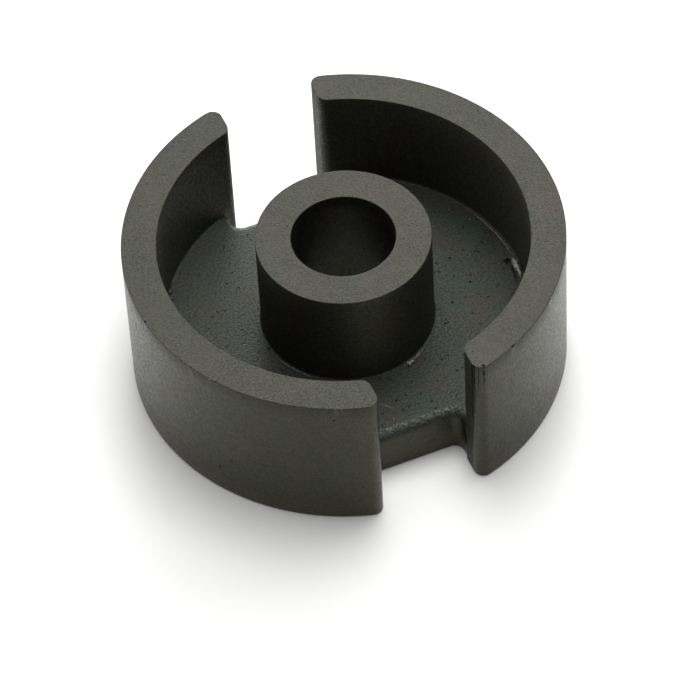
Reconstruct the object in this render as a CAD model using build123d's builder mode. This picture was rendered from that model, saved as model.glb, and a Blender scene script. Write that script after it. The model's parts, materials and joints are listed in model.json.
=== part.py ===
"""Pot core half: one pressed and sintered ferrite cup with a hollow centre post.

A round base carries an outer wall and a centre post that end in one lapped plane. Two wire
slots, opposite each other along Y, part the wall and run down into notches in the base.
Millimetres, +Z from the base towards the mating plane, origin on the axis at the underside.
"""

import os

from build123d import *

# Driving dimensions
outer_diameter = 9.3
winding_diameter = 7.82
post_diameter = 3.7
bore_diameter = 2.2
half_height = 3.56
base_thickness = 1.1

# Wire slots through the wall, and the radii at the wall's ends
slot_width = 2.08
wall_end_inner_radius = 0.24
wall_end_outer_radius = 0.22

# Notches in the base below the slots: width, distance from the axis to the flat, corner radius
front_notch_width = 2.16
front_notch_reach = 3.44
front_notch_corner = 0.22
back_notch_width = 2.56
back_notch_reach = 3.28
back_notch_corner = 0.25

# Roundings: the lip the wire leaves over, the coves in the winding space, the underside's edge
lip_radius = 0.24
cove_radius = 0.08
underside_radius = 0.05

# Sizes that follow; the base disc ends inside the wall, which carries it all round
outer_radius = outer_diameter / 2
winding_radius = winding_diameter / 2
post_radius = post_diameter / 2
bore_radius = bore_diameter / 2
base_radius = (winding_radius + outer_radius) / 2


def is_foot_of_wall_or_post(edge):
    if edge.geom_type != GeomType.CIRCLE or abs(edge.arc_center.Z - base_thickness) > 0.001:
        return False
    return abs(edge.radius - winding_radius) < 0.001 or abs(edge.radius - post_radius) < 0.001


with BuildPart() as pot_core_half:
    # Base disc with a notch at each slot, its upper edge rounded into a lip
    with BuildSketch() as base_plan:
        Circle(base_radius)
        with Locations((0, -front_notch_reach)):
            Rectangle(front_notch_width, outer_radius, align=(Align.CENTER, Align.MAX), mode=Mode.SUBTRACT)
        with Locations((0, back_notch_reach)):
            Rectangle(back_notch_width, outer_radius, align=(Align.CENTER, Align.MIN), mode=Mode.SUBTRACT)
        fillet(base_plan.vertices().group_by(Axis.Y)[1], front_notch_corner)
        fillet(base_plan.vertices().group_by(Axis.Y)[-2], back_notch_corner)
    extrude(amount=base_thickness)
    upper_edges = pot_core_half.edges().group_by(Axis.Z)[-1]
    rim_arcs = upper_edges.filter_by(lambda edge: edge.length > outer_diameter)
    fillet(upper_edges - rim_arcs, lip_radius)

    # Outer wall: two arcs parted by the wire slots, their ends rounded
    with BuildSketch() as wall_plan:
        Circle(outer_radius)
        Circle(winding_radius, mode=Mode.SUBTRACT)
        Rectangle(slot_width, 2 * outer_diameter, mode=Mode.SUBTRACT)
        fillet(wall_plan.vertices().sort_by_distance((0, 0))[:4], wall_end_inner_radius)
        fillet(wall_plan.vertices().sort_by_distance((0, 0))[-4:], wall_end_outer_radius)
    extrude(amount=half_height)

    # Centre post, then the coves at its foot and at the wall's
    with BuildSketch() as post_plan:
        Circle(post_radius)
    extrude(amount=half_height)
    fillet(pot_core_half.edges().filter_by(is_foot_of_wall_or_post), cove_radius)

    # The underside's outline is eased all round; the bore's mouths stay sharp
    underside = pot_core_half.faces().sort_by(Axis.Z)[0]
    fillet(underside.outer_wire().edges(), underside_radius)
    with BuildSketch() as bore_plan:
        Circle(bore_radius)
    extrude(amount=half_height, mode=Mode.SUBTRACT)

pot_core_half.part.label = "pot_core_half"

os.makedirs("parts", exist_ok=True)
export_step(pot_core_half.part, "parts/pot_core_half.step")
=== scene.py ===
import json
import math

import bmesh
import bpy
from mathutils import Euler, Matrix, Vector


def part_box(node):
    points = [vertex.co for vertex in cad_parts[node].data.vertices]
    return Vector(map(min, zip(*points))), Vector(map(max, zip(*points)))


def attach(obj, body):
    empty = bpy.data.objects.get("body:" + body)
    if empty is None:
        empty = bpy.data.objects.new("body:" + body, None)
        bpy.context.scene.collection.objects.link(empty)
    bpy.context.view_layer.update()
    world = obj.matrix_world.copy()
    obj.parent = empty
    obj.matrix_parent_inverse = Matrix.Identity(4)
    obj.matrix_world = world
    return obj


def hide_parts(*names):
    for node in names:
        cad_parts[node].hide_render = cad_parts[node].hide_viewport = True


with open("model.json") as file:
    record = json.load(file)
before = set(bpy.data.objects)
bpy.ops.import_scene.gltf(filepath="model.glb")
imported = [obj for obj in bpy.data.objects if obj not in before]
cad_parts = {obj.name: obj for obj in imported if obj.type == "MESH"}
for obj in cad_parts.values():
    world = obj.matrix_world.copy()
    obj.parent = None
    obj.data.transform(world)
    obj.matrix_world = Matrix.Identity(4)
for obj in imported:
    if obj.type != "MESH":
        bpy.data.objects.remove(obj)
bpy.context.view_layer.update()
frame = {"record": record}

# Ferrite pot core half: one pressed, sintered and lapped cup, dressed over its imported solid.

mm = 0.001  # shapes are drawn in millimetres and turned to metres when they are done
mounts = {mount["name"]: mount for mount in frame["record"]["mounts"]}
coreLow, coreHigh = (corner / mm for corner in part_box("pot_core_half"))
print("frame: core", [round(size, 3) for size in coreHigh - coreLow], "mm")


# small helpers

def hexToLinear(code):
    channels = [int(code[i:i + 2], 16) / 255 for i in (0, 2, 4)]
    linear = [c / 12.92 if c <= 0.04045 else ((c + 0.055) / 1.055) ** 2.4 for c in channels]
    return (*linear, 1.0)


def addNode(tree, kind, sockets=None, **settings):
    # sockets take a value, an output to link, or a node, which stands for its first output; settings are
    # the node's own options
    node = tree.nodes.new(kind)
    for name, value in settings.items():
        setattr(node, name, value)
    for key, value in (sockets or {}).items():
        for item in value if isinstance(value, list) else [value]:
            source = item.outputs[0] if isinstance(item, bpy.types.Node) else item
            if isinstance(source, bpy.types.NodeSocket):
                tree.links.new(source, node.inputs[key])
            else:
                node.inputs[key].default_value = source
    return node


def makeObject(name, data):
    made = bpy.data.objects.new(name, data)
    bpy.context.scene.collection.objects.link(made)
    return made


def makeMesh(name, points, faces):
    mesh = bpy.data.meshes.new(name)
    mesh.from_pydata(points, [], faces)
    mesh.validate()
    return makeObject(name, mesh)


def makePath(name, runs, closed):
    # each run of points becomes one line of straight steps
    curve = bpy.data.curves.new(name, "CURVE")
    curve.dimensions = "3D"
    for run in runs:
        spline = curve.splines.new("POLY")
        spline.points.add(len(run) - 1)
        for point, place in zip(spline.points, run):
            point.co = (*place, 1)
        spline.use_cyclic_u = closed
    return makeObject(name, curve)


def newNodeGroup(name, inputs):
    # inputs: label and default, a number or, for an object, None; besides them every tree takes one
    # geometry and a finish. Gives back the tree and the sockets that carry what it takes
    kinds = {float: "NodeSocketFloat", int: "NodeSocketInt", type(None): "NodeSocketObject"}
    tree = bpy.data.node_groups.new(name, "GeometryNodeTree")
    tree.interface.new_socket("Geometry", in_out="OUTPUT", socket_type="NodeSocketGeometry")
    tree.interface.new_socket("Geometry", in_out="INPUT", socket_type="NodeSocketGeometry")
    for label, default in inputs.items():
        socket = tree.interface.new_socket(label, in_out="INPUT", socket_type=kinds[type(default)])
        if default is not None:
            socket.default_value = default
    tree.interface.new_socket("Finish", in_out="INPUT", socket_type="NodeSocketMaterial")
    return tree, addNode(tree, "NodeGroupInput").outputs


def endNodeGroup(tree, given, realized):
    # every tree gives its realized geometry in the finish that it was given
    finished = addNode(tree, "GeometryNodeSetMaterial", {"Geometry": realized, "Material": given["Finish"]})
    addNode(tree, "NodeGroupOutput", {"Geometry": finished})
    return tree


def applyModifier(target, modifier):
    # gives the plain mesh that comes out, and takes the modifier off again
    graph = bpy.context.evaluated_depsgraph_get()
    mesh = bpy.data.meshes.new_from_object(target.evaluated_get(graph))
    target.modifiers.remove(modifier)
    return mesh


def runNodes(target, tree, values):
    # the inputs are set by their identifiers before the first evaluation
    modifier = target.modifiers.new(tree.name, "NODES")
    modifier.node_group = tree
    identifiers = {item.name: item.identifier for item in tree.interface.items_tree
                   if item.item_type == "SOCKET" and item.in_out == "INPUT"}
    for label, value in values.items():
        modifier[identifiers[label]] = value
    return applyModifier(target, modifier)


def discard(*objects):
    for item in objects:
        bpy.data.objects.remove(item)


def direction(azimuth, elevation):
    # seen from the core, in degrees: azimuth 0 is the front and 90 the right
    a, e = math.radians(azimuth), math.radians(elevation)
    return Vector((math.sin(a) * math.cos(e), -math.cos(a) * math.cos(e), math.sin(e)))


def polar(turn, distance, height):
    # turn about the axis in degrees, from +X; distance from the axis and height in mm
    return (distance * math.cos(math.radians(turn)), distance * math.sin(math.radians(turn)), height)


# camera: the long lens that looks down into the cup from the front left

cameraValues = {
    "azimuth": -20.2,
    "elevation": 48.6,
    "roll": -3.35,
    "lens": 231.4,
    "sensorWidth": 36,
    "clip": (0.005, 5),  # m
    "distance": 93.83,  # mm from the middle of the mating plane
    "aimRight": 0.14,  # mm from that middle to where the lens points, across and down the view
    "aimDown": 2.373,
}


def makeCamera(values):
    azimuth, roll = math.radians(values["azimuth"]), math.radians(values["roll"])
    back = direction(values["azimuth"], values["elevation"])
    right = Vector((math.cos(azimuth), math.sin(azimuth), 0))
    up = back.cross(right)
    tiltedRight = math.cos(roll) * right + math.sin(roll) * up
    tiltedUp = -math.sin(roll) * right + math.cos(roll) * up
    middle = Vector((0, 0, coreHigh.z))
    place = middle + back * values["distance"]
    aim = middle + tiltedRight * values["aimRight"] - tiltedUp * values["aimDown"]
    zAxis = (place - aim).normalized()
    xAxis = tiltedUp.cross(zAxis).normalized()
    yAxis = zAxis.cross(xAxis)
    data = bpy.data.cameras.new("studioCamera")
    data.lens = values["lens"]
    data.sensor_width = values["sensorWidth"]
    data.clip_start, data.clip_end = values["clip"]
    camera = makeObject("studioCamera", data)
    camera.matrix_world = Matrix((
        (xAxis.x, yAxis.x, zAxis.x, place.x * mm),
        (xAxis.y, yAxis.y, zAxis.y, place.y * mm),
        (xAxis.z, yAxis.z, zAxis.z, place.z * mm),
        (0, 0, 0, 1)))
    bpy.context.scene.camera = camera


makeCamera(cameraValues)
print("camera ready")


# floor and light

studio = {
    "floorSize": 600,  # mm
    "floorColour": "FAFAF8",
    "skyColour": "FFFFFF",
    "skyStrength": 0.30,
    # softboxes: azimuth and elevation seen from the core, distance and size in mm, power in W
    "softboxes": {
        "topBox": {"azimuth": 120, "elevation": 84, "distance": 75, "size": 45, "power": 0.0323},
        "backHighBox": {"azimuth": 170, "elevation": 62, "distance": 50, "size": 30, "power": 0.0072},
        "backNearBox": {"azimuth": 150, "elevation": 54, "distance": 34, "size": 18, "power": 0.0018},
        "rightNearBox": {"azimuth": 110, "elevation": 50, "distance": 34, "size": 18, "power": 0.0028},
        "backStrip": {"azimuth": 160, "elevation": 9, "distance": 150, "size": 60, "power": 0.170},
        "backLeftStrip": {"azimuth": 225, "elevation": 9, "distance": 150, "size": 60, "power": 0.0656},
    },
}


def makeStudio(values):
    half = values["floorSize"] * mm / 2
    floorHeight = coreLow.z * mm
    corners = [(-half, -half, floorHeight), (half, -half, floorHeight),
               (half, half, floorHeight), (-half, half, floorHeight)]
    floor = makeMesh("studioFloor", corners, [(0, 1, 2, 3)])
    material = bpy.data.materials.new("matt paper")  # plain pale sheet under the core
    material.use_nodes = True
    tree = material.node_tree
    tree.nodes.clear()
    shader = addNode(tree, "ShaderNodeBsdfDiffuse", {"Color": hexToLinear(values["floorColour"])})
    addNode(tree, "ShaderNodeOutputMaterial", {"Surface": shader})
    floor.data.materials.append(material)
    world = bpy.data.worlds.new("softTent")
    world.use_nodes = True
    background = world.node_tree.nodes["Background"]
    background.inputs["Color"].default_value = hexToLinear(values["skyColour"])
    background.inputs["Strength"].default_value = values["skyStrength"]
    bpy.context.scene.world = world
    for name, box in values["softboxes"].items():
        towards = direction(box["azimuth"], box["elevation"])
        data = bpy.data.lights.new(name, "AREA")
        data.shape = "SQUARE"
        data.size = box["size"] * mm
        data.energy = box["power"]
        lamp = makeObject(name, data)
        lamp.location = towards * box["distance"] * mm
        lamp.rotation_euler = towards.to_track_quat("Z", "Y").to_euler()
    bpy.context.scene.view_settings.view_transform = "Standard"


makeStudio(studio)
print("floor and light ready")


# the core's shape, in millimetres

core = {
    "outerRadius": coreHigh.x,
    "height": coreHigh.z,
    "boreRadius": mounts["bore"]["dims"]["r_mm"],
    "postRadius": mounts["centre_post"]["dims"]["r_mm"],
    "windingRadius": 3.91,
    "baseThickness": 1.1,
    "wallCove": 0.06,  # hollow rounding at the foot of the wall, and a tighter one round the post
    "postCove": 0.035,
    "lip": 0.24,  # rounding that the wires leave over
    "undersideEase": 0.05,
    "lappedEdge": 0.012,  # all that lapping leaves of a rounding on the mating plane
    "slotWidth": 2.08,
    "wallEndInner": 0.24,
    "wallEndOuter": 0.22,
    "frontNotch": {"width": 2.16, "reach": 3.44, "corner": 0.22, "side": -1},
    "backNotch": {"width": 2.56, "reach": 3.28, "corner": 0.25, "side": 1},
    "turnSegments": 320,
    "wallSegments": 130,
    "cornerSteps": 10,
    "step": 0.4,  # height of the rows of faces on the walls
}


def arcPoints(centre, radius, start, end, steps):
    # angles in degrees, both ends included
    angles = [math.radians(start + (end - start) * i / steps) for i in range(steps + 1)]
    return [(centre[0] + radius * math.cos(a), centre[1] + radius * math.sin(a)) for a in angles]


def splitLong(points, longest):
    # a closed outline whose long straight steps are cut into shorter ones
    result = []
    for (ax, ay), (bx, by) in zip(points, points[1:] + points[:1]):
        count = max(1, math.ceil(math.hypot(bx - ax, by - ay) / longest))
        result += [(ax + (bx - ax) * i / count, ay + (by - ay) * i / count) for i in range(count)]
    return result


def levels(low, high, step):
    # inset and height of the rows of an upright face
    count = max(1, round((high - low) / step))
    return [(0, low + (high - low) * i / count) for i in range(count + 1)]


def lowerRounding(radius):
    # inset and height of the rows that ease the underside's edge
    turns = [math.radians(turn) for turn in (0, 30, 60)]
    return [(radius * (1 - math.sin(t)), radius * (1 - math.cos(t))) for t in turns]


def upperRounding(radius, top, degrees):
    # inset and height of the rows that round an edge at the top
    turns = [math.radians(turn) for turn in degrees]
    return [(radius * (1 - math.cos(t)), top - radius + radius * math.sin(t)) for t in turns]


def bodyProfile(values):
    # half section of base and post, radius against height, drawn the way that turns its faces outwards
    cove, postCove, edge = values["wallCove"], values["postCove"], values["lappedEdge"]
    base, top = values["baseThickness"], values["height"]
    bore, post, wall = values["boreRadius"], values["postRadius"], values["windingRadius"]
    rim = (wall + values["outerRadius"]) / 2  # the base runs on inside the wall
    coveTop = base + 1.5 * cove
    points = [(bore, 0), (rim, 0), (rim, coveTop), (wall + 0.1 * cove, coveTop)]
    points += arcPoints((wall - cove, base + cove), cove, -10, -90, 5)
    points += arcPoints((post + postCove, base + postCove), postCove, 270, 180, 5)
    points += arcPoints((post - edge, top - edge), edge, 0, 90, 2)
    points += arcPoints((bore + edge, top - edge), edge, 90, 180, 2)
    outline = splitLong(points, values["step"])
    return makePath("bodyProfile", [[(r, -z, 0) for r, z in reversed(outline)]], True)


def wallOutline(values, inset):
    # plan of the wall on the +X side, set in by inset: outer arc, end, inner arc, end
    half = values["slotWidth"] / 2
    outer, inner = values["outerRadius"], values["windingRadius"]
    outerRound, innerRound = values["wallEndOuter"], values["wallEndInner"]
    outerX = half + outerRound
    outerY = math.sqrt((outer - outerRound) ** 2 - outerX ** 2)
    innerX = half + innerRound
    innerY = math.sqrt((inner + innerRound) ** 2 - innerX ** 2)
    outerTurn = math.degrees(math.atan2(outerY, outerX))
    innerTurn = math.degrees(math.atan2(innerY, innerX))
    count, steps = values["wallSegments"], values["cornerSteps"]
    outerArc = arcPoints((0, 0), outer - inset, -outerTurn, outerTurn, count)
    innerArc = arcPoints((0, 0), inner + inset, innerTurn, -innerTurn, count)
    end = arcPoints((outerX, outerY), outerRound - inset, outerTurn, 180, steps)[1:]
    end += [(half + inset, outerY + (innerY - outerY) * i / 3) for i in (1, 2)]
    end += arcPoints((innerX, innerY), innerRound - inset, 180, 180 + innerTurn, steps)[:-1]
    mirrored = [(x, -y) for x, y in reversed(end)]
    return outerArc + end + innerArc + mirrored


def loft(name, outlines, heights, capFaces):
    # closed solid through outlines of equal length; capFaces are the faces of the top
    size = len(outlines[0])
    points = [(x, y, z) for outline, z in zip(outlines, heights) for x, y in outline]
    faces = []
    for low in range(0, size * (len(outlines) - 1), size):
        high = low + size
        faces += [(low + i, low + (i + 1) % size, high + (i + 1) % size, high + i) for i in range(size)]
    faces += [tuple(high + i for i in face) for face in capFaces]
    faces += [tuple(reversed(face)) for face in capFaces]
    return makeMesh(name, points, faces)


def makeWall(values):
    ease, edge, top = values["undersideEase"], values["lappedEdge"], values["height"]
    stages = lowerRounding(ease) + levels(ease, top - edge, values["step"])
    stages += upperRounding(edge, top, (45, 90))
    outlines = [wallOutline(values, inset) for inset, z in stages]
    count = values["wallSegments"]
    size = len(outlines[0])
    endSize = (size - 2 * (count + 1)) // 2
    innerStart = count + 1 + endSize
    cap = [(i, i + 1, innerStart + count - i - 1, innerStart + count - i) for i in range(count)]
    cap.append(tuple(range(count, innerStart + 1)))
    cap.append((*range(innerStart + count, size), 0))
    return loft("wall", outlines, [z for inset, z in stages], cap)


def notchOutline(notch, grow, steps):
    # plan of the cut for one notch, grown by grow, open ended far outside the core
    half, reach, corner = notch["width"] / 2, notch["reach"], notch["corner"]
    far, flatSteps, sideSteps = 6.5, 12, 8
    left = arcPoints((-(half - corner), reach + corner), corner + grow, 180, 270, steps)
    right = arcPoints((half - corner, reach + corner), corner + grow, 270, 360, steps)
    start, end = left[-1][0], right[0][0]
    flat = [(start + (end - start) * i / flatSteps, reach - grow) for i in range(1, flatSteps)]
    side = [(half + grow, reach + corner + (far - reach - corner) * i / sideSteps)
            for i in range(1, sideSteps + 1)]
    outline = left + flat + right + side + [(-x, y) for x, y in reversed(side)]
    if notch["side"] < 0:
        outline = [(-x, -y) for x, y in outline]
    return outline


def makeNotch(name, values, notch):
    # the cut flares at its foot, which eases the underside's edge, and at the floor, which forms the lip
    ease, lip, base = values["undersideEase"], values["lip"], values["baseThickness"]
    below, run, climb = 0.3, 0.003, 0.15
    lastTurn = 84  # the lip stops short of level, so that it meets the floor in a clean line
    stages = [(ease, -below)] + lowerRounding(ease) + levels(ease, base - lip, values["step"])
    stages += upperRounding(lip, base, [*range(10, 90, 10), lastTurn])
    # past the last step the cut leaves the floor at that step's slope, then climbs at 45 degrees
    for across, up in ((run / math.tan(math.radians(90 - lastTurn)), run), (climb, climb)):
        stages.append((stages[-1][0] + across, stages[-1][1] + up))
    outlines = [notchOutline(notch, grow, values["cornerSteps"]) for grow, z in stages]
    return loft(name, outlines, [z for grow, z in stages], [tuple(range(len(outlines[0])))])


def makePressTree():
    # turns the body's profile, cuts the two notches, and joins one wall and the same wall turned half round
    tree, given = newNodeGroup("pressCore", {
        "Body Profile": None, "Wall": None, "Front Notch": None, "Back Notch": None, "Segments": 480})
    circle = addNode(tree, "GeometryNodeCurvePrimitiveCircle", {
        "Resolution": given["Segments"], "Radius": 0.00001})
    profile = addNode(tree, "GeometryNodeObjectInfo", {"Object": given["Body Profile"]})
    turned = addNode(tree, "GeometryNodeCurveToMesh", {
        "Curve": circle, "Profile Curve": profile.outputs["Geometry"]})
    front = addNode(tree, "GeometryNodeObjectInfo", {"Object": given["Front Notch"]})
    back = addNode(tree, "GeometryNodeObjectInfo", {"Object": given["Back Notch"]})
    notched = addNode(tree, "GeometryNodeMeshBoolean", {
        "Mesh 1": turned, "Mesh 2": [front.outputs["Geometry"], back.outputs["Geometry"]]},
        operation="DIFFERENCE", solver="MANIFOLD")
    wall = addNode(tree, "GeometryNodeObjectInfo", {"Object": given["Wall"]})
    opposite = addNode(tree, "GeometryNodeTransform", {
        "Geometry": wall.outputs["Geometry"], "Rotation": Euler((0, 0, math.pi))})
    joined = addNode(tree, "GeometryNodeMeshBoolean", {
        "Mesh 2": [notched, wall.outputs["Geometry"], opposite]}, operation="UNION", solver="MANIFOLD")
    realized = addNode(tree, "GeometryNodeRealizeInstances", {"Geometry": joined})
    return endNodeGroup(tree, given, realized)


profileObject = bodyProfile(core)
wallObject = makeWall(core)
frontNotch = makeNotch("frontNotch", core, core["frontNotch"])
backNotch = makeNotch("backNotch", core, core["backNotch"])
host = makeObject("pressedCore", bpy.data.meshes.new("pressedCore"))
coreMesh = runNodes(host, makePressTree(), {
    "Body Profile": profileObject, "Wall": wallObject, "Front Notch": frontNotch, "Back Notch": backNotch,
    "Segments": core["turnSegments"]})
discard(profileObject, wallObject, frontNotch, backNotch)
print("pressed core:", len(coreMesh.polygons), "faces")


# what the surfaces are: one ferrite, finished four ways, broken where it chipped, and with painted shade in
# its pits

# sizes in mm. A sintered grain is about 0.012 across and an open pore about 0.005, too fine to show, so
# grain is drawn some four times coarser than real and pores some ten times; mottle is as broad as the
# patches of tone that firing leaves
fracture = {  # what the finishes of broken ferrite share
    "roughnessSpread": 0.15, "ior": 1.48, "specularTint": "FFFFF8",
    "grain": 0.03, "grainDepth": 0.0030, "mottle": 0.2, "toneShare": 0.5,
    "poreApart": 0.06, "poreRadius": 0.012, "poreShare": 0.4, "poreDepth": 0.004}
finishes = {
    # sintered manganese zinc ferrite lapped flat: an even warm grey, matt, with a fine grit and open pores
    "lapped ferrite": {
        "dark": "0B0B0B", "light": "20201C", "tones": ["301F21", "192512"], "poreShade": "040404",
        "roughness": 0.60, "roughnessSpread": 0.07, "ior": 1.48, "specularTint": "FFFEEC",
        "grain": 0.042, "grainDepth": 0.0030, "mottle": 0.8, "toneShare": 0.45,
        "poreApart": 0.17, "poreRadius": 0.022, "poreShare": 0.55, "poreDepth": 0.010},
    # left as the punch pressed it: greener and darker, with coarser grit, pores painted dark for the shade
    # in them and a painted highlight on the front lip's crest
    "pressed ferrite": {
        "dark": "060606", "light": "232621", "tones": ["241C17", "0C231C"], "poreShade": "020302",
        "roughness": 0.58, "roughnessSpread": 0.10, "ior": 1.48, "specularTint": "F9FFF0",
        "grain": 0.050, "grainDepth": 0.0036, "mottle": 1.0, "toneShare": 0.7,
        "poreApart": 0.16, "poreRadius": 0.036, "poreShare": 0.5, "poreDepth": 0.014,
        # the crest heights, colour and share below set the painted highlight on the front lip
        "crestLow": 0.97, "crestHigh": 1.096, "crestFade": 0.015, "paintedLipHighlight": "51554C", "paintedLipHighlightShare": 0.80},
    # rubbed by the die on the way out: smoother, with faint streaks straight up and a brown foot
    "die drawn ferrite": {
        "dark": "030302", "light": "1C1C17", "tones": ["281A17", "141E0C"], "poreShade": "020202",
        "roughness": 0.36, "roughnessSpread": 0.09, "ior": 1.43, "specularTint": "FFFFDC",
        "grain": 0.060, "grainDepth": 0.0024, "mottle": 1.0, "toneShare": 0.45,
        "poreApart": 0.20, "poreRadius": 0.028, "poreShare": 0.45, "poreDepth": 0.010,
        "streakLength": 0.8, "streakShare": 0.14, "footHeight": 0.7, "foot": "251F18", "footShare": 0.75},
    # stripped off the punch inside the cup: the same streaks, but rougher and duller, and with a base colour
    # painted lighter than the die drawn one to lift the shade inside the cup
    "punch drawn ferrite": {
        "dark": "050504", "light": "27271F", "tones": ["23140F", "11180D"], "poreShade": "020202",
        "roughness": 0.62, "roughnessSpread": 0.09, "ior": 1.48, "specularTint": "FFFFE6",
        "grain": 0.060, "grainDepth": 0.0032, "mottle": 1.2, "toneShare": 0.4,
        "poreApart": 0.20, "poreRadius": 0.028, "poreShare": 0.45, "poreDepth": 0.010,
        "streakLength": 0.8, "streakShare": 0.14},
    # fresh fracture on chips and crumbs: paler, because the open grains scatter more light
    "broken ferrite": {
        **fracture, "dark": "3A3A35", "light": "7F7D76", "tones": ["5D584F"], "poreShade": "191816",
        "roughness": 0.50},
    # flash torn off in the cup's corners: ragged slivers with a painted highlight, coloured far paler than
    # fracture so that they shine though the wall shades them
    "torn ferrite with painted highlight": {
        **fracture, "dark": "5A5953", "light": "BDBAB0", "tones": ["94918A"], "poreShade": "33312D",
        "roughness": 0.45},
    # the walls of pits and pores: painted shade, near black, because hardly any light gets back out of such
    # hollows
    "pitted ferrite in painted shade": {
        **fracture, "dark": "020202", "light": "11110F", "tones": ["0D0A08"], "poreShade": "020202",
        "roughness": 0.70, "roughnessSpread": 0.10, "ior": 1.40, "toneShare": 0.4},
}


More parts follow.
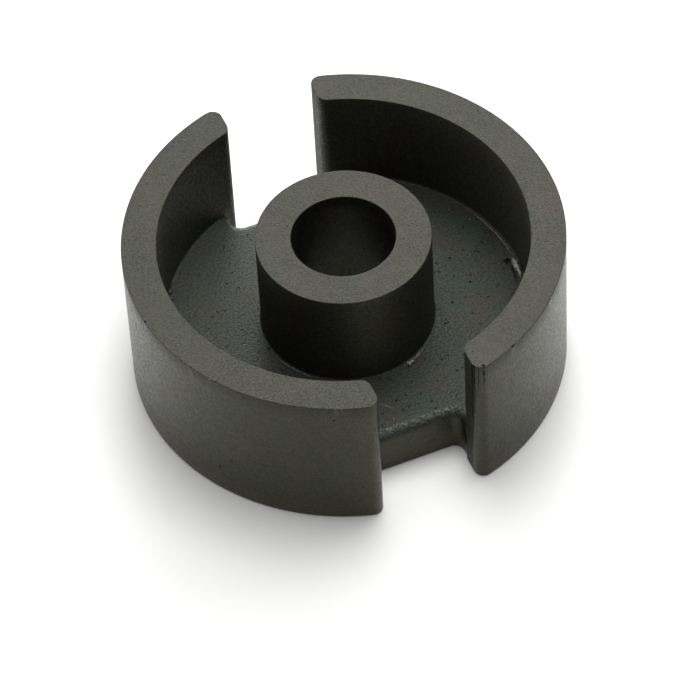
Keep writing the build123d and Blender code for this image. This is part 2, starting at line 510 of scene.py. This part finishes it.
def makeFinish(name, look):
    material = bpy.data.materials.new(name)
    material.use_nodes = True
    tree = material.node_tree
    tree.nodes.clear()
    # object coordinates turned to millimetres, so that every size above is a real one
    coordinates = addNode(tree, "ShaderNodeTexCoord")
    inMm = addNode(tree, "ShaderNodeMapping", {
        "Vector": coordinates.outputs["Object"], "Scale": (1 / mm, 1 / mm, 1 / mm)}, vector_type="POINT")
    axes = addNode(tree, "ShaderNodeSeparateXYZ", {0: inMm})
    grain = addNode(tree, "ShaderNodeTexNoise", {
        "Vector": inMm, "Scale": 1 / look["grain"], "Detail": 3.0, "Roughness": 0.6}, noise_dimensions="3D")
    grit = addNode(tree, "ShaderNodeMapRange", {
        "Value": grain, "From Min": 0.34, "From Max": 0.66}, interpolation_type="SMOOTHSTEP")
    shade = grit
    if "streakLength" in look:
        # the same noise pulled out upwards gives the rub marks of die and punch
        upright = addNode(tree, "ShaderNodeMapping", {
            "Vector": inMm, "Scale": (1, 1, look["grain"] / look["streakLength"])}, vector_type="POINT")
        rub = addNode(tree, "ShaderNodeTexNoise", {
            "Vector": upright, "Scale": 0.6 / look["grain"], "Detail": 3.0, "Roughness": 0.65},
            noise_dimensions="3D")
        streak = addNode(tree, "ShaderNodeMapRange", {
            "Value": rub, "From Min": 0.35, "From Max": 0.65}, interpolation_type="SMOOTHSTEP")
        shade = addNode(tree, "ShaderNodeMix", {
            "Factor": look["streakShare"], 2: grit, 3: streak}, data_type="FLOAT")
    colour = addNode(tree, "ShaderNodeMix", {
        "Factor": shade, 6: hexToLinear(look["dark"]), 7: hexToLinear(look["light"])}, data_type="RGBA")
    overlays = []  # tones laid over that colour in turn, each with the node that says how much of it shows
    for number, tone in enumerate(look["tones"]):
        # broad patches where the sintering left other tones, each on a noise of its own
        patches = addNode(tree, "ShaderNodeTexNoise", {
            "Vector": inMm, "W": 7.0 * number, "Scale": 1 / look["mottle"], "Detail": 3.0, "Roughness": 0.6},
            noise_dimensions="4D")
        share = addNode(tree, "ShaderNodeMapRange", {
            "Value": patches, "From Min": 0.47, "From Max": 0.66, "To Max": look["toneShare"]},
            interpolation_type="SMOOTHSTEP")
        overlays.append((share, tone))
    if "footHeight" in look:
        # the foot of the wall stays browner from the setter it was fired on, up to an uneven height
        uneven = addNode(tree, "ShaderNodeMath", {
            0: patches, 1: -1.2, 2: axes.outputs["Z"]}, operation="MULTIPLY_ADD")
        foot = addNode(tree, "ShaderNodeMapRange", {
            "Value": uneven, "From Min": -0.5, "From Max": look["footHeight"] - 0.5,
            "To Min": look["footShare"], "To Max": 0.0}, interpolation_type="SMOOTHSTEP")
        overlays.append((foot, look["foot"]))
    if "crestLow" in look:
        # between these heights, just under the floor, only the lips' crests lie; the front one gets a
        # painted highlight, paler grains where it rolls over towards the light
        paintedLipHighlight = addNode(tree, "ShaderNodeMapRange", {
            "Value": axes.outputs["Z"], "From Min": look["crestLow"],
            "From Max": look["crestHigh"] - look["crestFade"]}, interpolation_type="SMOOTHSTEP")
        below = addNode(tree, "ShaderNodeMath", {
            0: axes.outputs["Z"], 1: look["crestHigh"]}, operation="LESS_THAN")
        front = addNode(tree, "ShaderNodeMath", {0: axes.outputs["Y"], 1: 0.0}, operation="LESS_THAN")
        # the grit breaks the painted highlight into pale speckles
        crumbs = addNode(tree, "ShaderNodeMapRange", {
            "Value": grain, "From Min": 0.40, "From Max": 0.62, "To Max": look["paintedLipHighlightShare"]},
            interpolation_type="SMOOTHSTEP")
        for limit in (below, front, crumbs):
            paintedLipHighlight = addNode(tree, "ShaderNodeMath", {0: paintedLipHighlight, 1: limit}, operation="MULTIPLY")
        overlays.append((paintedLipHighlight, look["paintedLipHighlight"]))
    # open pores: round cells, of which only some are sunk; their dark colour is painted shade for the
    # hollow, and the bump below sinks them
    cells = addNode(tree, "ShaderNodeTexVoronoi", {
        "Vector": inMm, "Scale": 1 / look["poreApart"], "Randomness": 1.0},
        voronoi_dimensions="3D", feature="F1")
    inside = addNode(tree, "ShaderNodeMapRange", {
        "Value": cells.outputs["Distance"], "From Min": 0.5 * look["poreRadius"] / look["poreApart"],
        "From Max": look["poreRadius"] / look["poreApart"], "To Min": 1.0, "To Max": 0.0},
        interpolation_type="SMOOTHSTEP")
    lot = addNode(tree, "ShaderNodeSeparateColor", {0: cells.outputs["Color"]})
    drawn = addNode(tree, "ShaderNodeMath", {0: lot, 1: look["poreShare"]}, operation="LESS_THAN")
    pores = addNode(tree, "ShaderNodeMath", {0: inside, 1: drawn}, operation="MULTIPLY")
    overlays.append((pores, look["poreShade"]))
    for share, tone in overlays:
        colour = addNode(tree, "ShaderNodeMix", {
            "Factor": share, 6: colour.outputs[2], 7: hexToLinear(tone)}, data_type="RGBA")
    roughness = addNode(tree, "ShaderNodeMapRange", {
        "Value": grit, "To Min": look["roughness"] + look["roughnessSpread"],
        "To Max": look["roughness"] - look["roughnessSpread"]})
    grainBump = addNode(tree, "ShaderNodeBump", {
        "Strength": 1.0, "Distance": look["grainDepth"] * mm, "Height": grit})
    sunk = addNode(tree, "ShaderNodeMath", {0: 1.0, 1: pores}, operation="SUBTRACT")
    poreBump = addNode(tree, "ShaderNodeBump", {
        "Strength": 1.0, "Distance": look["poreDepth"] * mm, "Height": sunk, "Normal": grainBump})
    shader = addNode(tree, "ShaderNodeBsdfPrincipled", {
        "Base Color": colour.outputs[2], "Roughness": roughness, "IOR": look["ior"],
        "Specular Tint": hexToLinear(look["specularTint"]), "Normal": poreBump})
    addNode(tree, "ShaderNodeOutputMaterial", {"Surface": shader})
    return material


materials = {name: makeFinish(name, look) for name, look in finishes.items()}
print("finishes:", ", ".join(materials))


# what pressing, firing, lapping and handling left: flash, chips, pits and crumbs

edgeRuns = {
    # lumps strung along edges: the spacing of the places, the share of them that is taken, how far they
    # stray, how far they stand out as a share of their size, and their smallest and largest size in mm
    "frets": {"along": "rims", "spacing": 0.075, "share": 0.30, "stray": 0.004, "lift": 0.50, "seed": 3,
              "sizes": (0.008, 0.020), "cut": True, "finish": "lapped ferrite"},
    "nibbles": {"along": "rims", "spacing": 0.19, "share": 0.28, "stray": 0.006, "lift": 0.45, "seed": 14,
                "sizes": (0.014, 0.032), "cut": True, "finish": "pitted ferrite in painted shade"},
    "nicks": {"along": "rims", "spacing": 0.42, "share": 0.30, "stray": 0.01, "lift": 0.58, "seed": 8,
              "sizes": (0.022, 0.048), "cut": True, "finish": "broken ferrite"},
    "footNibbles": {"along": "foot", "spacing": 0.22, "share": 0.35, "stray": 0.01, "lift": 0.0,
                    "seed": 41, "sizes": (0.010, 0.030), "cut": True, "finish": "broken ferrite"},
    "lipGrains": {"along": "lip", "spacing": 0.062, "share": 0.55, "stray": 0.03, "lift": -0.2, "seed": 21,
                  "sizes": (0.008, 0.022), "cut": False, "finish": "broken ferrite"},
    "lipPits": {"along": "lip", "spacing": 0.08, "share": 0.4, "stray": 0.05, "lift": 0.2, "seed": 33,
                "sizes": (0.010, 0.026), "cut": True, "finish": "pitted ferrite in painted shade"},
}
surfaceRuns = {
    # lumps spread over the faces between two heights: least distance apart and how many per mm2
    "floorPits": {"lowest": 1.05, "highest": 1.14, "apart": 0.11, "density": 3.6, "lift": 0.25, "seed": 11,
                  "sizes": (0.010, 0.030), "cut": True, "finish": "pitted ferrite in painted shade"},
    "wallPits": {"lowest": 0.03, "highest": 3.5, "apart": 0.2, "density": 0.55, "lift": 0.35, "seed": 17,
                 "sizes": (0.008, 0.024), "cut": True, "finish": "pitted ferrite in painted shade"},
    "lappedPits": {"lowest": 3.555, "highest": 3.57, "apart": 0.16, "density": 1.2, "lift": 0.35,
                   "seed": 23, "sizes": (0.008, 0.020), "cut": True, "finish": "pitted ferrite in painted shade"},
    "floorCrumbs": {"lowest": 1.05, "highest": 1.14, "apart": 0.2, "density": 1.1, "lift": -0.2,
                    "seed": 29, "sizes": (0.008, 0.020), "cut": False, "finish": "broken ferrite"},
}
markSpread = (0.75, 1.15)  # by chance a mark's size lies between these shares of the size given
marks = {
    # the marks that stand out, at places given as turn, distance and height; facing is outwards and up
    "rimChips": {"size": 0.068, "facing": (1, 1), "lift": 0.45, "seed": 8, "cut": True,
                 "finish": "broken ferrite",
                 "places": [(-45.6, 4.65, 3.56), (-63.5, 4.65, 3.56), (-112.9, 4.65, 3.56),
                            (-114.6, 4.65, 3.56), (-148.7, 4.65, 3.56)]},
    "rimNicks": {"size": 0.046, "facing": (1, 1), "lift": 0.2, "seed": 8, "cut": True,
                 "finish": "pitted ferrite in painted shade",
                 "places": [(-46.5, 4.65, 3.56), (-58.0, 4.65, 3.56), (-64.5, 4.65, 3.56),
                            (-74.3, 4.58, 3.56), (-146.7, 4.65, 3.56), (-154.8, 4.65, 3.56),
                            (-174.3, 4.65, 3.56)]},
    "boreNicks": {"size": 0.045, "facing": (-1, 1), "lift": 0.5, "seed": 8, "cut": True,
                  "finish": "broken ferrite", "places": [(4.0, 1.1, 3.56), (-38.0, 1.1, 3.56)]},
    "wallPits": {"size": 0.030, "facing": (1, 0), "lift": 0.2, "seed": 8, "cut": True,
                 "finish": "pitted ferrite in painted shade",
                 "places": [(-108.8, 4.65, 1.0), (-143.9, 4.65, 1.12), (-147.8, 4.65, 0.72),
                            (-115.2, 4.65, 3.19)]},
    "floorPits": {"size": 0.034, "facing": (0, 1), "lift": 0.2, "seed": 9, "cut": True,
                  "finish": "pitted ferrite in painted shade",
                  "places": [(0.1, 2.47, 1.1), (8.2, 3.18, 1.1), (-6.3, 2.72, 1.1), (-61.4, 3.0, 1.1),
                             (13.5, 3.68, 1.1), (150.0, 3.78, 1.1)]},
    "tornPit": {"size": 0.052, "facing": (0, 1), "lift": 0.1, "seed": 7, "cut": True,
                "finish": "pitted ferrite in painted shade",
                "places": [(-1.7, 3.69, 1.1), (-0.6, 3.70, 1.1), (-2.3, 3.64, 1.1), (-1.1, 3.63, 1.1)]},
    "beads": {"size": 0.055, "facing": (0, 1), "lift": 0.2, "seed": 5, "cut": False,
              "finish": "torn ferrite with painted highlight",
              "places": [(-2.7, 3.79, 1.13), (-3.7, 3.80, 1.13), (-71.5, 1.96, 1.11), (-69.4, 1.96, 1.12)]},
    "paleGrains": {"size": 0.030, "facing": (0, 1), "lift": -0.1, "seed": 10, "cut": False,
                   "finish": "broken ferrite",
                   "places": [(29.5, 3.6, 1.1), (21.4, 3.68, 1.1), (-84.0, 2.62, 1.1), (-94.8, 3.1, 1.1),
                              (147.2, 3.84, 1.13), (-74.5, 1.94, 1.11)]},
}
ridges = {
    # flash that the press squeezed up in corners, a hair on the floor and the scores that tooling left,
    # each from one place to another, given as turn, distance and height
    "wallFootRight": {"from": (-3, 3.84, 1.112), "to": (26, 3.84, 1.112), "thickness": 0.020,
                      "wander": 0.06, "seed": 5, "cut": False, "finish": "broken ferrite"},
    "wallFootFront": {"from": (-9.5, 3.80, 1.12), "to": (-1, 3.80, 1.12), "thickness": 0.062,
                      "wander": 0.05, "seed": 6, "cut": False, "finish": "torn ferrite with painted highlight"},
    "postFootRight": {"from": (-74, 1.93, 1.112), "to": (-54, 1.93, 1.112), "thickness": 0.032,
                      "wander": 0.04, "seed": 9, "cut": False, "finish": "broken ferrite"},
    "postFootLeft": {"from": (-164, 1.915, 1.11), "to": (-134, 1.915, 1.11), "thickness": 0.020,
                     "wander": 0.015, "seed": 12, "cut": False, "finish": "broken ferrite"},
    "wallFootGroove": {"from": (-13, 3.695, 1.10), "to": (-1.5, 3.695, 1.10), "thickness": 0.040,
                       "wander": 0.04, "seed": 15, "cut": True, "finish": "pitted ferrite in painted shade"},
    "floorHair": {"from": (-99.2, 2.57, 1.105), "to": (-93.2, 2.80, 1.10), "thickness": 0.014,
                  "wander": 0.03, "seed": 18, "cut": False, "finish": "broken ferrite"},
    "endScoreInner": {"from": (-76.2, 4.478, 4.3), "to": (-76.2, 4.478, 2.5), "thickness": 0.020,
                      "wander": 0.01, "seed": 22, "cut": True, "finish": "pitted ferrite in painted shade"},
    "endScoreMiddle": {"from": (-75.72, 4.561, 4.2), "to": (-75.72, 4.561, 2.7), "thickness": 0.016,
                       "wander": 0.01, "seed": 24, "cut": True, "finish": "pitted ferrite in painted shade"},
    "endScoreOuter": {"from": (-74.6, 4.625, 4.2), "to": (-74.6, 4.625, 2.8), "thickness": 0.024,
                      "wander": 0.01, "seed": 27, "cut": True, "finish": "punch drawn ferrite"},
}

sizeInputs = {"Smallest": 0.01, "Largest": 0.05, "Lift": 0.5, "Seed": 0}
lumpSegments, lumpRings = 7, 5
lumpFaces = lumpSegments * lumpRings


def lumpInputs(run):
    # what the three trees that scatter lumps have in common
    smallest, largest = run["sizes"]
    return {"Smallest": smallest, "Largest": largest, "Lift": run["lift"], "Seed": run["seed"],
            "Finish": materials[run["finish"]]}


def scatterLumps(tree, given, points, facing, size, selection=True):
    # lumps beside the points, lifted by a share of their size, turned at random and dented by a noise
    sized = addNode(tree, "GeometryNodeStoreNamedAttribute", {
        "Geometry": points, "Name": "size", "Value": size}, data_type="FLOAT", domain="POINT")
    readSize = addNode(tree, "GeometryNodeInputNamedAttribute", {"Name": "size"}, data_type="FLOAT")
    rise = addNode(tree, "ShaderNodeMath", {0: readSize, 1: given["Lift"]}, operation="MULTIPLY")
    offset = addNode(tree, "ShaderNodeVectorMath", {0: facing, "Scale": rise}, operation="SCALE")
    lifted = addNode(tree, "GeometryNodeSetPosition", {"Geometry": sized, "Offset": offset})
    turn = addNode(tree, "FunctionNodeRandomValue", {
        0: (0, 0, 0), 1: (2 * math.pi,) * 3, "Seed": given["Seed"]}, data_type="FLOAT_VECTOR")
    stretch = addNode(tree, "FunctionNodeRandomValue", {
        0: (0.7, 0.7, 0.7), 1: (1.25, 1.25, 1.25), "Seed": given["Seed"]}, data_type="FLOAT_VECTOR")
    scale = addNode(tree, "ShaderNodeVectorMath", {0: stretch, "Scale": readSize}, operation="SCALE")
    lump = addNode(tree, "GeometryNodeMeshUVSphere", {
        "Radius": 1.0, "Segments": lumpSegments, "Rings": lumpRings})
    placed = addNode(tree, "GeometryNodeInstanceOnPoints", {
        "Points": lifted, "Instance": lump, "Rotation": turn, "Scale": scale, "Selection": selection})
    realized = addNode(tree, "GeometryNodeRealizeInstances", {"Geometry": placed})
    dents = addNode(tree, "ShaderNodeTexNoise", {"Scale": 24.0, "Detail": 1.0}, noise_dimensions="3D")
    depth = addNode(tree, "ShaderNodeMapRange", {
        "Value": dents, "From Min": 0.0, "From Max": 1.0, "To Min": -0.7, "To Max": 0.7})
    dent = addNode(tree, "ShaderNodeMath", {0: depth, 1: readSize}, operation="MULTIPLY")
    normal = addNode(tree, "GeometryNodeInputNormal")
    push = addNode(tree, "ShaderNodeVectorMath", {0: normal, "Scale": dent}, operation="SCALE")
    dented = addNode(tree, "GeometryNodeSetPosition", {"Geometry": realized, "Offset": push})
    return endNodeGroup(tree, given, dented)


def randomSize(tree, given):
    # many small ones and few large ones
    lot = addNode(tree, "FunctionNodeRandomValue", {"Seed": given["Seed"]}, data_type="FLOAT")
    skewed = addNode(tree, "ShaderNodeMath", {0: lot.outputs[1], 1: 2.5}, operation="POWER")
    return addNode(tree, "ShaderNodeMapRange", {
        "Value": skewed, "To Min": given["Smallest"], "To Max": given["Largest"]})


def makeEdgeTree():
    # chips along edges that come in as curves with the air on their right
    tree, given = newNodeGroup("chipEdges", {"Spacing": 0.1, "Share": 0.5, "Stray": 0.01, **sizeInputs})
    run = addNode(tree, "GeometryNodeResampleCurve", {
        "Curve": given["Geometry"], "Length": given["Spacing"]}, mode="LENGTH")
    points = addNode(tree, "GeometryNodeCurveToPoints", {"Curve": run}, mode="EVALUATED")
    sideways = addNode(tree, "ShaderNodeVectorMath", {
        0: points.outputs["Tangent"], 1: (0, 0, 1)}, operation="CROSS_PRODUCT")
    outwards = addNode(tree, "ShaderNodeVectorMath", {0: sideways, 1: (0, 0, 1)}, operation="ADD")
    toss = addNode(tree, "FunctionNodeRandomValue", {
        0: (-1, -1, -1), 1: (1, 1, 1), "Seed": given["Seed"]}, data_type="FLOAT_VECTOR")
    stray = addNode(tree, "ShaderNodeVectorMath", {0: toss, "Scale": given["Stray"]}, operation="SCALE")
    moved = addNode(tree, "GeometryNodeSetPosition", {"Geometry": points, "Offset": stray})
    chosen = addNode(tree, "FunctionNodeRandomValue", {
        "Probability": given["Share"], "Seed": given["Seed"]}, data_type="BOOLEAN")
    return scatterLumps(tree, given, moved, outwards, randomSize(tree, given), chosen.outputs[3])


def makeSurfaceTree():
    # pits or crumbs spread over the faces between two heights
    tree, given = newNodeGroup("pitSurfaces", {
        "Lowest": 0.0, "Highest": 1.0, "Apart": 0.1, "Density": 1.0, **sizeInputs})
    place = addNode(tree, "GeometryNodeInputPosition")
    axes = addNode(tree, "ShaderNodeSeparateXYZ", {0: place})
    above = addNode(tree, "ShaderNodeMath", {
        0: axes.outputs["Z"], 1: given["Lowest"]}, operation="GREATER_THAN")
    below = addNode(tree, "ShaderNodeMath", {
        0: axes.outputs["Z"], 1: given["Highest"]}, operation="LESS_THAN")
    between = addNode(tree, "ShaderNodeMath", {0: above, 1: below}, operation="MULTIPLY")
    spread = addNode(tree, "GeometryNodeDistributePointsOnFaces", {
        "Mesh": given["Geometry"], "Selection": between, "Distance Min": given["Apart"],
        "Density Max": given["Density"], "Seed": given["Seed"]}, distribute_method="POISSON")
    return scatterLumps(tree, given, spread, spread.outputs["Normal"], randomSize(tree, given))


def makeMarkTree():
    # one lump at each point that comes in, beside it by the way it faces
    tree, given = newNodeGroup("placeMarks", {"Outwards": 1.0, "Upwards": 1.0, **sizeInputs})
    points = addNode(tree, "GeometryNodeMeshToPoints", {"Mesh": given["Geometry"]})
    place = addNode(tree, "GeometryNodeInputPosition")
    level = addNode(tree, "ShaderNodeVectorMath", {0: place, 1: (1, 1, 0)}, operation="MULTIPLY")
    radial = addNode(tree, "ShaderNodeVectorMath", {0: level}, operation="NORMALIZE")
    outwards = addNode(tree, "ShaderNodeVectorMath", {
        0: radial, "Scale": given["Outwards"]}, operation="SCALE")
    upwards = addNode(tree, "ShaderNodeCombineXYZ", {"Z": given["Upwards"]})
    facing = addNode(tree, "ShaderNodeVectorMath", {0: outwards, 1: upwards}, operation="ADD")
    return scatterLumps(tree, given, points, facing, randomSize(tree, given))


def makeRidgeTree():
    # a wandering thread, to stand up as flash or to be cut as a score, that thins out to both ends
    tree, given = newNodeGroup("raiseFlash", {"Thickness": 0.02, "Wander": 0.01, "Seed": 0})
    run = addNode(tree, "GeometryNodeResampleCurve", {
        "Curve": given["Geometry"], "Length": 0.022}, mode="LENGTH")
    along = addNode(tree, "GeometryNodeSplineParameter")
    bend = addNode(tree, "ShaderNodeTexNoise", {
        "W": given["Seed"], "Scale": 9.0, "Detail": 2.0}, noise_dimensions="4D")
    centred = addNode(tree, "ShaderNodeVectorMath", {
        0: bend.outputs["Color"], 1: (0.5, 0.5, 0.5)}, operation="SUBTRACT")
    wander = addNode(tree, "ShaderNodeVectorMath", {
        0: centred, "Scale": given["Wander"]}, operation="SCALE")
    bent = addNode(tree, "GeometryNodeSetPosition", {"Geometry": run, "Offset": wander})
    angle = addNode(tree, "ShaderNodeMath", {0: along.outputs["Factor"], 1: math.pi}, operation="MULTIPLY")
    swell = addNode(tree, "ShaderNodeMath", {0: angle}, operation="SINE")
    lumpy = addNode(tree, "ShaderNodeTexNoise", {
        "W": given["Seed"], "Scale": 16.0, "Detail": 2.0}, noise_dimensions="4D")
    uneven = addNode(tree, "ShaderNodeMapRange", {
        "Value": lumpy, "From Min": 0.3, "From Max": 0.7, "To Min": 0.35, "To Max": 1.3})
    shape = addNode(tree, "ShaderNodeMath", {0: swell, 1: uneven}, operation="MULTIPLY")
    thinnest = addNode(tree, "ShaderNodeMath", {0: shape, 1: 0.12}, operation="MAXIMUM")
    radius = addNode(tree, "ShaderNodeMath", {0: thinnest, 1: given["Thickness"]}, operation="MULTIPLY")
    section = addNode(tree, "GeometryNodeCurvePrimitiveCircle", {"Resolution": 7, "Radius": 1.0})
    tube = addNode(tree, "GeometryNodeCurveToMesh", {
        "Curve": bent, "Profile Curve": section, "Scale": radius, "Fill Caps": True})
    realized = addNode(tree, "GeometryNodeRealizeInstances", {"Geometry": tube})
    return endNodeGroup(tree, given, realized)


def carve(target, otherMesh, cut):
    # cuts the other mesh out of the target or joins it on; its faces keep their finish
    other = makeObject("other", otherMesh)
    modifier = target.modifiers.new("carve", "BOOLEAN")
    modifier.object = other
    modifier.operation = "DIFFERENCE" if cut else "UNION"
    modifier.solver = "MANIFOLD"
    modifier.material_mode = "TRANSFER"
    target.data = applyModifier(target, modifier)
    discard(other)


def rimLoops(values):
    # the edges that end in the mating plane, each run with the air on its right
    top = values["height"]
    lastTurn, steps = 357, 119  # a ring's last point lies one step of 3 degrees before its first
    right = wallOutline(values, 0)
    post = arcPoints((0, 0), values["postRadius"], 0, lastTurn, steps)
    bore = arcPoints((0, 0), values["boreRadius"], lastTurn, 0, steps)
    outlines = [right, [(-x, -y) for x, y in right], post, bore]
    return [[(x, y, top) for x, y in outline] for outline in outlines]


def footLoops(values):
    # the lower edge of the two walls' outer faces, eased as it is, from end to end
    inset, height, lastTurn = 0.01, 0.012, 76
    right = arcPoints((0, 0), values["outerRadius"] - inset, -lastTurn, lastTurn, 80)
    return [[(x, y, height) for x, y in right], [(-x, -y, height) for x, y in right]]


def lipLine(values):
    # along the crest of the front lip, from the left wall to the right one
    notch = values["frontNotch"]
    start, step, count, below, past = -0.95, 0.1, 20, 0.01, 0.35
    reach = notch["side"] * (notch["reach"] - past * values["lip"])
    return [[(start + step * i, reach, values["baseThickness"] - below) for i in range(count)]]


def ridgeLine(start, end, steps):
    # turn, distance and height go evenly from one end to the other
    return [polar(*(a + (b - a) * i / steps for a, b in zip(start, end))) for i in range(steps + 1)]


hostFinishes = ("lapped ferrite", "pressed ferrite", "die drawn ferrite", "punch drawn ferrite")


def chooseFinish(polygon):
    # lapped on the mating plane, drawn by die or punch on what stands upright, pressed elsewhere
    level, upright = 0.98, 0.3  # how far up a face's normal points, at least and at most
    nearTop, pastBore, insideRim = 0.05, 0.2, 0.3  # mm
    if polygon.normal.z > level and polygon.center.z > core["height"] - nearTop:
        return "lapped ferrite"
    if abs(polygon.normal.z) > upright:
        return "pressed ferrite"
    fromAxis = math.hypot(polygon.center.x, polygon.center.y)
    inCup = core["boreRadius"] + pastBore < fromAxis < core["outerRadius"] - insideRim
    notched = polygon.center.z < core["baseThickness"] and fromAxis < core["windingRadius"]
    # the shaded inside of the cup takes the copy painted lighter
    return "punch drawn ferrite" if inCup and not notched else "die drawn ferrite"


host.data = coreMesh
host.data.materials.clear()
for name in hostFinishes:
    host.data.materials.append(materials[name])
for polygon in host.data.polygons:
    polygon.material_index = hostFinishes.index(chooseFinish(polygon))

ridgeTree = makeRidgeTree()
ridgeSteps = 24
for name, ridge in ridges.items():
    path = makePath(name, [ridgeLine(ridge["from"], ridge["to"], ridgeSteps)], False)
    flash = runNodes(path, ridgeTree, {
        "Thickness": ridge["thickness"], "Wander": ridge["wander"], "Seed": ridge["seed"],
        "Finish": materials[ridge["finish"]]})
    carve(host, flash, ridge["cut"])
    discard(path)
print("flash:", len(ridges), "ridges and grooves")

edgeTree = makeEdgeTree()
edges = {"rims": rimLoops(core), "foot": footLoops(core), "lip": lipLine(core)}
for name, run in edgeRuns.items():
    path = makePath(name, edges[run["along"]], run["along"] == "rims")
    chips = runNodes(path, edgeTree, {
        "Spacing": run["spacing"], "Share": run["share"], "Stray": run["stray"], **lumpInputs(run)})
    print(name, len(chips.polygons) // lumpFaces)
    carve(host, chips, run["cut"])
    discard(path)

surfaceTree = makeSurfaceTree()
for name, run in surfaceRuns.items():
    lumps = runNodes(host, surfaceTree, {
        "Lowest": run["lowest"], "Highest": run["highest"], "Apart": run["apart"],
        "Density": run["density"], **lumpInputs(run)})
    print(name, len(lumps.polygons) // lumpFaces)
    carve(host, lumps, run["cut"])

markTree = makeMarkTree()
for name, mark in marks.items():
    sizes = [share * mark["size"] for share in markSpread]
    outwards, upwards = mark["facing"]
    spots = makeMesh(name, [polar(*place) for place in mark["places"]], [])
    lumps = runNodes(spots, markTree, {
        "Outwards": float(outwards), "Upwards": float(upwards),
        **lumpInputs({**mark, "sizes": sizes})})
    carve(host, lumps, mark["cut"])
    discard(spots)
print("marks:", sum(len(mark["places"]) for mark in marks.values()))


def dropLooseBits(mesh):
    # a chip can cut a crumb free; only the core itself stays
    shape = bmesh.new()
    shape.from_mesh(mesh)
    left = set(shape.verts)
    parts = []
    while left:
        front = [left.pop()]
        part = list(front)
        while front:
            vert = front.pop()
            reached = {edge.other_vert(vert) for edge in vert.link_edges} & left
            left -= reached
            front += reached
            part += reached
        parts.append(part)
    parts.sort(key=len)
    bmesh.ops.delete(shape, geom=[vert for part in parts[:-1] for vert in part], context="VERTS")
    shape.to_mesh(mesh)
    shape.free()
    print("loose bits dropped:", len(parts) - 1)


def finishEdges(mesh, sharpTurn):
    # smooth faces, but crisp at edges that turn by more degrees than sharpTurn, and where lapping or a
    # break ends one finish and begins the next
    for polygon in mesh.polygons:
        polygon.use_smooth = True
    mesh.set_sharp_from_angle(angle=math.radians(sharpTurn))
    names = [material.name for material in mesh.materials]
    lapped = names.index("lapped ferrite")
    broken = {names.index(name) for name in ("broken ferrite", "torn ferrite with painted highlight", "pitted ferrite in painted shade")}
    crisp = broken | {lapped}
    shape = bmesh.new()
    shape.from_mesh(mesh)
    for edge in shape.edges:
        met = {face.material_index for face in edge.link_faces}
        flat = [face for face in edge.link_faces
                if face.material_index == lapped and face.normal.z > 0.9999]
        if len(flat) == 1 or len(met) > 1 and met & crisp:
            edge.smooth = False
    shape.to_mesh(mesh)
    shape.free()


dropLooseBits(host.data)
host.data.transform(Matrix.Scale(mm, 4))
finishEdges(host.data, 50)
weighted = host.modifiers.new("flatFaces", "WEIGHTED_NORMAL")
weighted.keep_sharp = True
weighted.weight = 50
host.name = "ferrite_core_half"
print("core:", len(host.data.polygons), "faces")

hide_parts("pot_core_half")
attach(host, "root")
